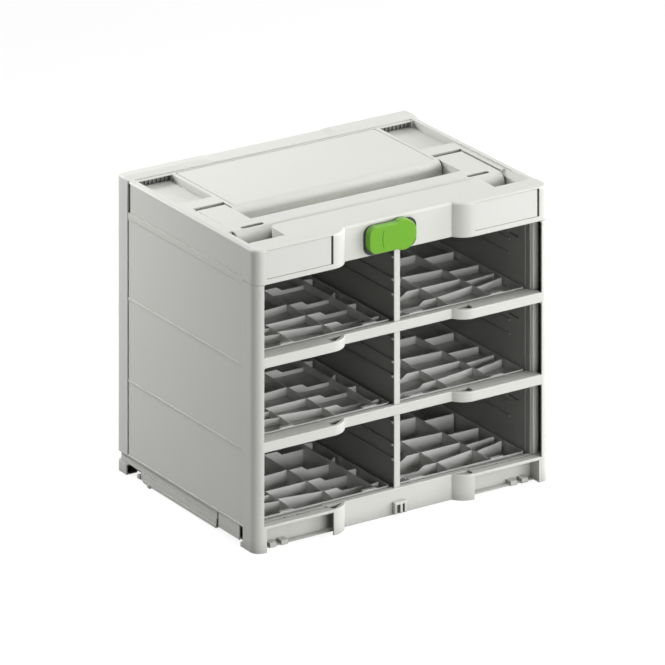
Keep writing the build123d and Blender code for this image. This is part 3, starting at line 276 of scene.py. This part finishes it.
def turned_steel():
    """Fine rings from the lathe on the latch spindle, washer and handle pins."""
    material = bpy.data.materials.new("pin_steel")
    material.use_nodes = True
    tree = material.node_tree
    shader = tree.nodes["Principled BSDF"]
    shader.inputs["Metallic"].default_value = 1.0
    shader.inputs["Base Color"].default_value = STEEL
    place = add_node(tree, "ShaderNodeTexCoord")
    rings = add_node(tree, "ShaderNodeTexNoise", {"Scale": RING_SCALE, "Detail": 2.0})
    tree.links.new(place.outputs["Object"], rings.inputs["Vector"])
    rough = maths(tree, "MULTIPLY_ADD", rings.outputs["Fac"], STEEL_SWING)
    rough.node.inputs[2].default_value = STEEL_ROUGHNESS
    tree.links.new(rough, shader.inputs["Roughness"])
    bump = add_node(tree, "ShaderNodeBump", {"Strength": RING_STRENGTH, "Distance": RING_DEPTH})
    tree.links.new(rings.outputs["Fac"], bump.inputs["Height"])
    tree.links.new(bump.outputs["Normal"], shader.inputs["Normal"])
    return material


FINISHES = {name: plastic(name, **look) for name, look in PLASTICS.items()}
FINISHES["pin_steel"] = turned_steel()
slots = {part["node"]: part["material_slot"] for part in frame["record"]["subparts"]}
for name, node in nodes.items():
    node.data.materials.clear()
    node.data.materials.append(FINISHES[slots[name]])


# ---------------------------------------------------------------- light and floor
AMBIENT = 0.04
FLOOR_HALF = 8.0            # metres from the middle to the floor's edge
FLOOR_BOUNCE = (0.3, 0.3, 0.3, 1)       # what the floor throws back on the case
FLOOR_SHADE = (0.2, 0.2, 0.2, 1)        # the part of its look that shadows darken
FLOOR_GLOW = 0.88
MIDDLE = (0.0, 0.0, 0.17)


def soft_box(name, location, target, size, power):
    """A rectangular area lamp that faces the target, its power in watts."""
    lamp = bpy.data.lights.new(name, "AREA")
    lamp.shape = "RECTANGLE"
    lamp.size, lamp.size_y = size
    lamp.energy = power
    holder = bpy.data.objects.new(name, lamp)
    bpy.context.scene.collection.objects.link(holder)
    holder.location = location
    holder.rotation_euler = (Vector(target) - Vector(location)).to_track_quat("-Z", "Y").to_euler()


def seen_directly(tree):
    """One where the camera looks, straight or through gloss or glass, and nought for other light."""
    path = tree.nodes.new("ShaderNodeLightPath")
    seen = maths(tree, "ADD", path.outputs["Is Camera Ray"], path.outputs["Is Glossy Ray"],
                 clamp=True)
    return maths(tree, "ADD", seen, path.outputs["Is Transmission Ray"], clamp=True)


def studio_world(ambient):
    """An even soft light all round, white where it is seen."""
    world = bpy.data.worlds.new("studio")
    bpy.context.scene.world = world
    world.use_nodes = True
    tree = world.node_tree
    tree.nodes.clear()
    light = add_node(tree, "ShaderNodeBackground", {"Color": (1, 1, 1, 1), "Strength": ambient})
    white = add_node(tree, "ShaderNodeBackground", {"Color": (1, 1, 1, 1), "Strength": 1.0})
    pick = tree.nodes.new("ShaderNodeMixShader")
    out = tree.nodes.new("ShaderNodeOutputWorld")
    tree.links.new(seen_directly(tree), pick.inputs[0])
    tree.links.new(light.outputs[0], pick.inputs[1])
    tree.links.new(white.outputs[0], pick.inputs[2])
    tree.links.new(pick.outputs[0], out.inputs["Surface"])


def floor():
    """A plain pale floor, near white to the eye, that keeps the case's soft shadow."""
    shape = bmesh.new()
    bmesh.ops.create_grid(shape, x_segments=1, y_segments=1, size=FLOOR_HALF)
    mesh = bpy.data.meshes.new("floor")
    shape.to_mesh(mesh)
    shape.free()
    sheet = bpy.data.objects.new("floor", mesh)
    bpy.context.scene.collection.objects.link(sheet)
    material = bpy.data.materials.new("pale_floor")
    material.use_nodes = True
    tree = material.node_tree
    tree.nodes.clear()
    bounce = add_node(tree, "ShaderNodeBsdfDiffuse", {"Color": FLOOR_BOUNCE})
    shade = add_node(tree, "ShaderNodeBsdfDiffuse", {"Color": FLOOR_SHADE})
    glow = add_node(tree, "ShaderNodeEmission", {"Color": (1, 1, 1, 1), "Strength": FLOOR_GLOW})
    shown = tree.nodes.new("ShaderNodeAddShader")
    pick = tree.nodes.new("ShaderNodeMixShader")
    out = tree.nodes.new("ShaderNodeOutputMaterial")
    tree.links.new(shade.outputs[0], shown.inputs[0])
    tree.links.new(glow.outputs[0], shown.inputs[1])
    tree.links.new(seen_directly(tree), pick.inputs[0])
    tree.links.new(bounce.outputs[0], pick.inputs[1])
    tree.links.new(shown.outputs[0], pick.inputs[2])
    tree.links.new(pick.outputs[0], out.inputs["Surface"])
    sheet.data.materials.append(material)


soft_box("overhead", (0.2, -0.1, 2.4), (0, 0, 0.2), (1.6, 1.6), 21)
soft_box("low_front", (0.0, -2.6, 0.5), (0, 0, 0.15), (1.6, 0.9), 29)
soft_box("near_front_right", (0.9, -1.1, 0.5), (0.15, -0.15, 0.2), (0.6, 0.6), 5.5)
soft_box("right", (2.5, -0.5, 1.0), MIDDLE, (1.2, 1.2), 46)
soft_box("near_left_rear", (-0.7, 0.9, 0.75), (-0.2, 0.1, 0.25), (0.4, 0.4), 10.5)
soft_box("rear", (0.9, 2.6, 0.5), (0, 0, 0.15), (1.2, 0.8), 4)
studio_world(AMBIENT)
floor()

scene = bpy.context.scene
scene.view_settings.view_transform = "Standard"
